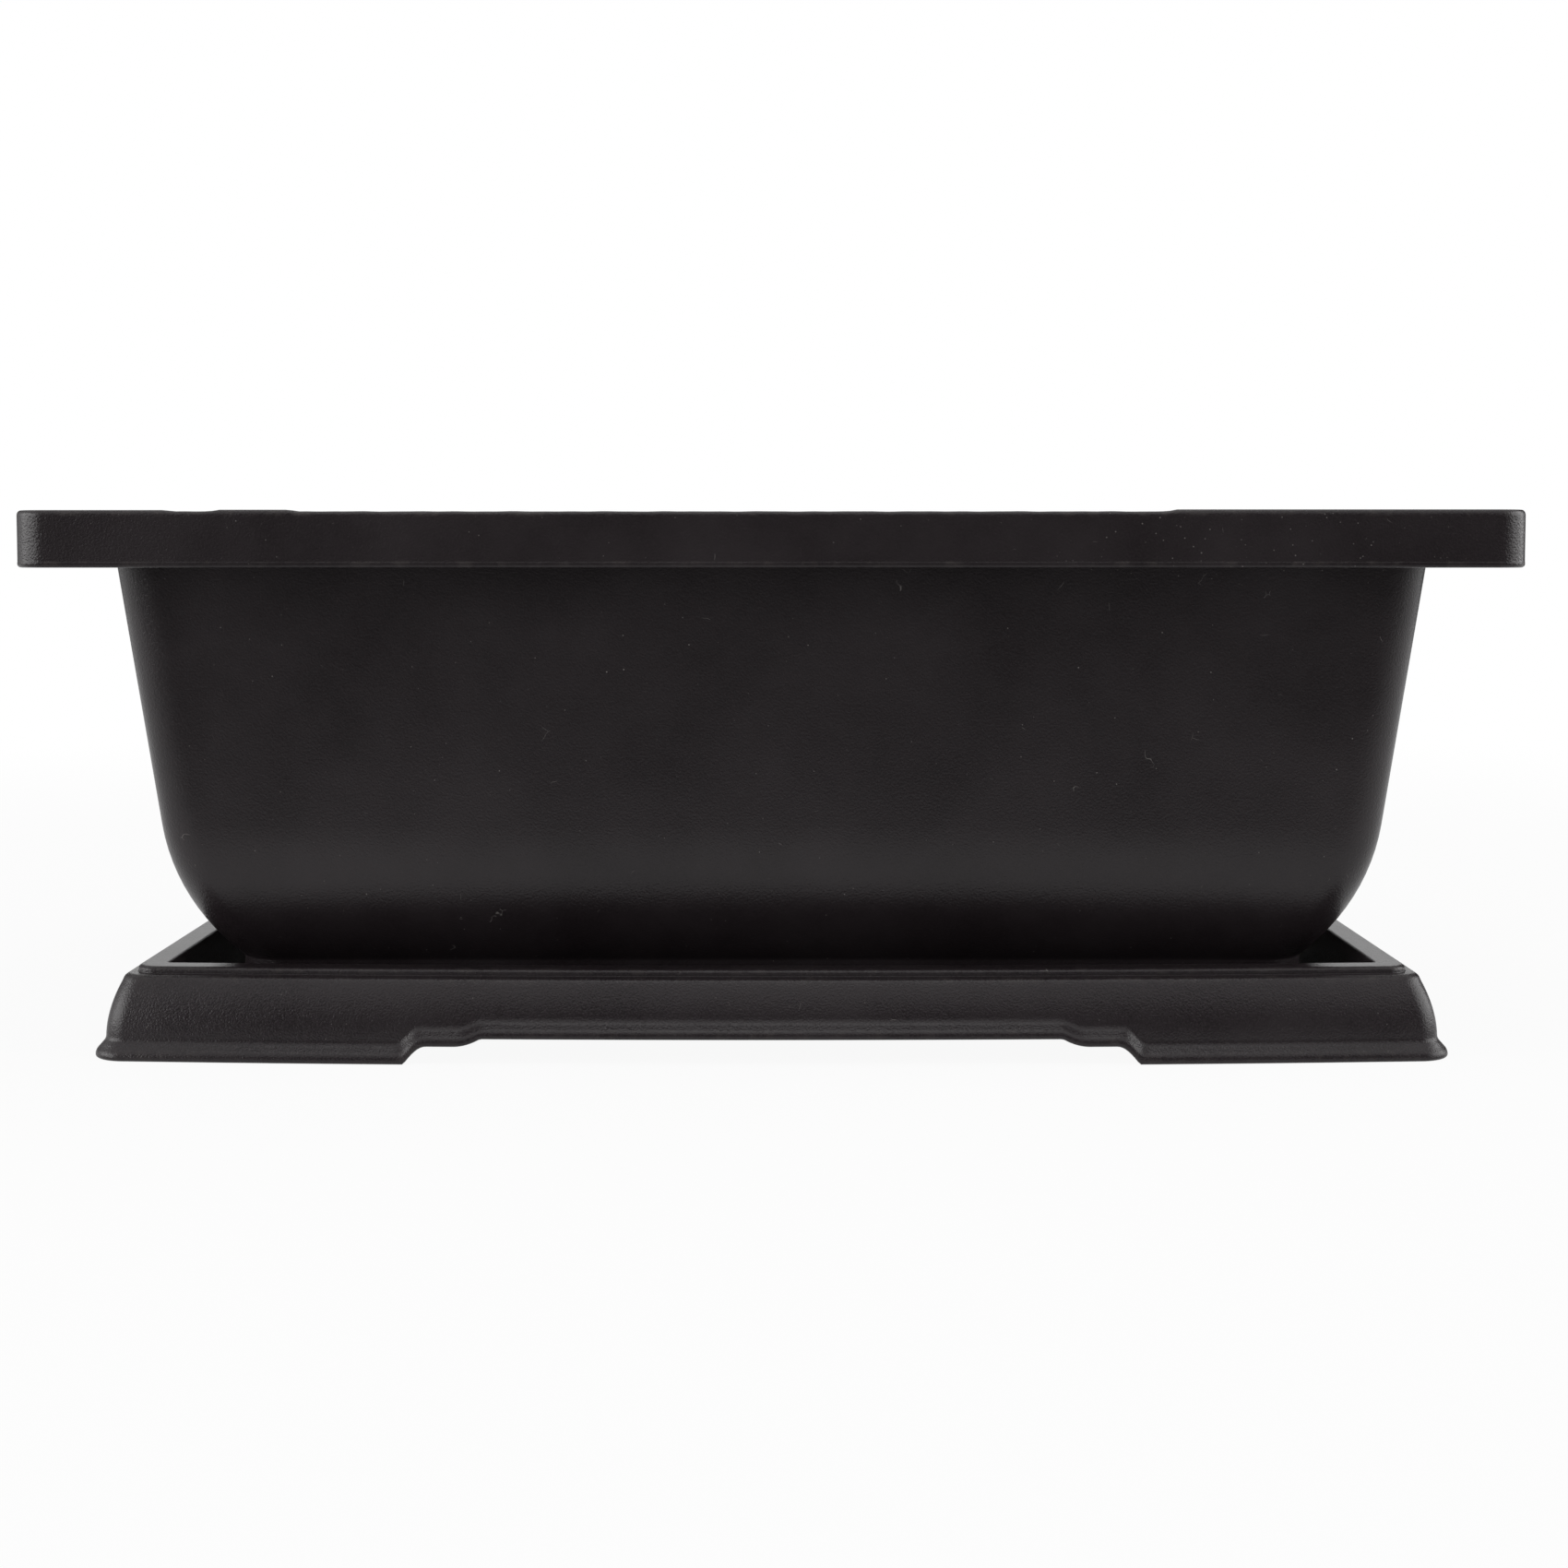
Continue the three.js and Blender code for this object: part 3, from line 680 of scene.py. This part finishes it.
potLook = {
    "colour": "#1e191b", "roughness": 0.28, "ior": 1.49, "specular": 0.35,
    "grain": 0.4, "grainToneAndShadeRange": (0.38, 0.66), "grainStrength": 1.0, "grainDepth": 0.07,
    # the grain's colour is partly its own tone, partly painted shade in its pits
    "grainToneAndShadeColour": "#231e20",
    "smudge": 24.0, "smudgeRange": (0.35, 0.7), "smudgeColour": "#2a2527", "smudgeGloss": 0.03,
    "wearSize": 2.6, "wearRange": (0.5, 0.68), "wearColour": "#3f3a39",
    "scuffAt": (86.0, 0.0, 96.5), "scuffReach": (44.0, 1000.0, 9.0), "scuffFade": 0.7, "scuffSpacing": 1.5,
    "dust": 0.9, "dustSize": 0.15, "speckCore": 0.4, "dustSpacing": 2.4, "dustColour": "#a39e9b",
    "dustPatch": 22.0, "dustRange": (0.42, 0.62), "dustLeast": 0.2,
    "lint": 0.4, "lintSize": 0.04, "lintSpacing": 7.0, "lintBend": 3.0, "lintLength": 4.0,
    "lintRange": (0.71, 0.75), "lintScuff": 0.06,
}
trayLook = dict(potLook, colour="#1b1618", specular=0.325, grain=0.36, grainDepth=0.075,
                grainToneAndShadeColour="#2a2427", scuffAt=(0.0, 0.0, -50.0), dust=0.5)
for piece, body, node, slot, finish, look in (
    (pot, "pot", "pot", "pot_plastic", "moulded_polypropylene_pot", potLook),
    (tray, "tray", "drip_tray", "tray_plastic", "moulded_polypropylene_tray", trayLook),
):
    piece.data.materials.append(grainedPolypropylene(finish, look))
    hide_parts(node)
    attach(piece, body)
print("materials set")


# Stage

stageLook = {
    "floorSize": 12.0, "floorColour": "#f2f2f2", "whiteNear": 0.93, "nearEnd": 0.3, "farStart": 0.8,
    "shade": ((-0.46, -0.25, 0.27), (-0.22, -0.13, 0.57)), "ambient": 0.3,
    "cards": (  # name, start, end, height, colour
        ("front_card", (-0.45, -0.62), (0.6, -0.62), 0.32, "#656565"),
        ("left_card", (-1.0, 0.55), (-0.42, 0.75), 0.8, "#a0a0a0"),
        ("right_card", (0.42, 0.75), (1.0, 0.55), 0.8, "#4c4c4c"),
    ),
    "lamps": (  # name, place, target, width, height, brightness
        ("left_box", (-1.1, -0.65, 0.36), (-0.13, -0.65, 0.3), 1.4, 0.6, 3.9),
        ("right_box", (1.1, -0.1, 0.48), (0.13, -0.1, 0.4), 1.2, 0.8, 2.8),
        ("top_box", (0.0, -0.3, 1.2), (0, -0.05, 0.05), 0.8, 0.8, 1.3),
    ),
}


# 1 for rays that see the white background: straight from the camera, or by way of a gloss or glass.
def seesBackground(tree):
    rays = addNode(tree, "ShaderNodeLightPath").outputs
    first = addNode(tree, "ShaderNodeMath", {"operation": "MAXIMUM"},
                    {0: rays["Is Camera Ray"], 1: rays["Is Glossy Ray"]})
    both = {0: first.outputs[0], 1: rays["Is Transmission Ray"]}
    return addNode(tree, "ShaderNodeMath", {"operation": "MAXIMUM"}, both).outputs[0]


# A flat sheet from its corners, with one material.
def addSheet(name, corners, material):
    mesh = bpy.data.meshes.new(name)
    mesh.from_pydata(corners, [], [(0, 1, 2, 3)])
    mesh.materials.append(material)
    sheet = bpy.data.objects.new(name, mesh)
    bpy.context.scene.collection.objects.link(sheet)
    return sheet


# White paper sweep: it takes the object's shadow close by, and far off it is as white as the background.
# What a gloss shows of it falls off in two smooth steps towards the dark side of the studio, in front.
def whitePaper(look):
    material = bpy.data.materials.new("white_paper")
    material.use_nodes = True
    tree = material.node_tree
    tree.nodes.clear()
    where = addNode(tree, "ShaderNodeTexCoord").outputs["Object"]
    away = addNode(tree, "ShaderNodeVectorMath", {"operation": "LENGTH"}, {0: where})
    white = addNode(tree, "ShaderNodeMapRange", {
        "interpolation_type": "SMOOTHSTEP", **between(look["nearEnd"], look["farStart"]),
        "To Min": look["whiteNear"], "To Max": 1.0}, {"Value": away.outputs["Value"]})
    share = addNode(tree, "ShaderNodeMath", {"operation": "MULTIPLY"},
                    {0: seesBackground(tree), 1: white.outputs["Result"]})
    along = addNode(tree, "ShaderNodeSeparateXYZ", None, {0: where}).outputs["Y"]
    steps = [addNode(tree, "ShaderNodeMapRange", {
        "interpolation_type": "SMOOTHSTEP", **between(start, end), "To Max": rise},
        {"Value": along}).outputs["Result"] for start, end, rise in look["shade"]]
    shade = addNode(tree, "ShaderNodeMath", {"operation": "ADD"}, {0: steps[0], 1: steps[1]})
    glossy = addNode(tree, "ShaderNodeLightPath").outputs["Is Glossy Ray"]
    level = addNode(tree, "ShaderNodeMapRange", {"To Min": 1.0},
                    {"Value": glossy, "To Max": shade.outputs[0]})
    paper = addNode(tree, "ShaderNodeBsdfDiffuse", {"Color": linearColour(look["floorColour"])})
    glow = addNode(tree, "ShaderNodeEmission", None, {"Strength": level.outputs["Result"]})
    mix = addNode(tree, "ShaderNodeMixShader", None,
                  {0: share.outputs[0], 1: paper.outputs[0], 2: glow.outputs[0]})
    addNode(tree, "ShaderNodeOutputMaterial", None, {"Surface": mix.outputs[0]})
    return material


# Grey cards out of the picture, seen only in reflections: one behind the camera keeps the front faces as
# dark as they are, one on each side behind the object keeps its outline dark against the white.
def addCard(name, start, end, tall, colour):
    material = bpy.data.materials.new(name)
    material.use_nodes = True
    shader = material.node_tree.nodes["Principled BSDF"]
    shader.inputs["Base Color"].default_value = linearColour(colour)
    shader.inputs["Specular IOR Level"].default_value = 0.0
    card = addSheet(name, [(*start, 0), (*end, 0), (*end, tall), (*start, tall)], material)
    card.visible_camera = card.visible_diffuse = card.visible_transmission = card.visible_shadow = False


# White for rays that see the background, the ambient level for all others.
def buildWorld(look):
    world = bpy.data.worlds.new("studio")
    bpy.context.scene.world = world
    world.use_nodes = True
    tree = world.node_tree
    tree.nodes.clear()
    level = addNode(tree, "ShaderNodeMapRange", {"To Min": look["ambient"], "To Max": 1.0},
                    {"Value": seesBackground(tree)})
    sky = addNode(tree, "ShaderNodeBackground", {"Color": (1, 1, 1, 1)},
                  {"Strength": level.outputs["Result"]})
    addNode(tree, "ShaderNodeOutputWorld", None, {"Surface": sky.outputs[0]})


# A soft lamp, so wide and so tall, that points at a place. Its energy is pi times area times brightness, in
# which white paper is 1.
def addLamp(name, place, target, wide, tall, brightness):
    lamp = bpy.data.lights.new(name, "AREA")
    lamp.shape = "RECTANGLE"
    lamp.size, lamp.size_y = wide, tall
    lamp.energy = brightness * math.pi * wide * tall
    holder = bpy.data.objects.new(name, lamp)
    holder.location = place
    holder.visible_camera = False
    away = np.array(place) - np.array(target)
    holder.rotation_euler = (math.acos(away[2] / np.linalg.norm(away)), 0,
                             math.atan2(away[1], away[0]) + math.pi / 2)
    bpy.context.scene.collection.objects.link(holder)


edge = stageLook["floorSize"] / 2
floorCorners = [(-edge, -edge, 0), (edge, -edge, 0), (edge, edge, 0), (-edge, edge, 0)]
addSheet("floor", floorCorners, whitePaper(stageLook))
for card in stageLook["cards"]:
    addCard(*card)
buildWorld(stageLook)
for lamp in stageLook["lamps"]:
    addLamp(*lamp)
print("stage and lamps set")


# Camera: the photograph's field is 1700 pixels square, its focal length about 2700 of them

cameraForm = {
    "focal": 2703.0, "across": 1700.0, "sensor": 36.0, "clipStart": 10.0,
    "place": (2.3, -543.0, 93.7), "pitch": 0.0926,
}


# Looks along +Y, turned down by the pitch. The lens is the sensor's width times focal length over field.
def buildCamera(form):
    camera = bpy.data.cameras.new("photo_camera")
    camera.sensor_width = form["sensor"]
    camera.lens = camera.sensor_width * form["focal"] / form["across"]
    camera.clip_start = form["clipStart"] * mm
    holder = bpy.data.objects.new("photo_camera", camera)
    holder.location = [value * mm for value in form["place"]]
    holder.rotation_euler = (math.pi / 2 - form["pitch"], 0, 0)
    bpy.context.scene.collection.objects.link(holder)
    bpy.context.scene.camera = holder


buildCamera(cameraForm)
bpy.context.scene.view_settings.view_transform = "Standard"
print("camera set")
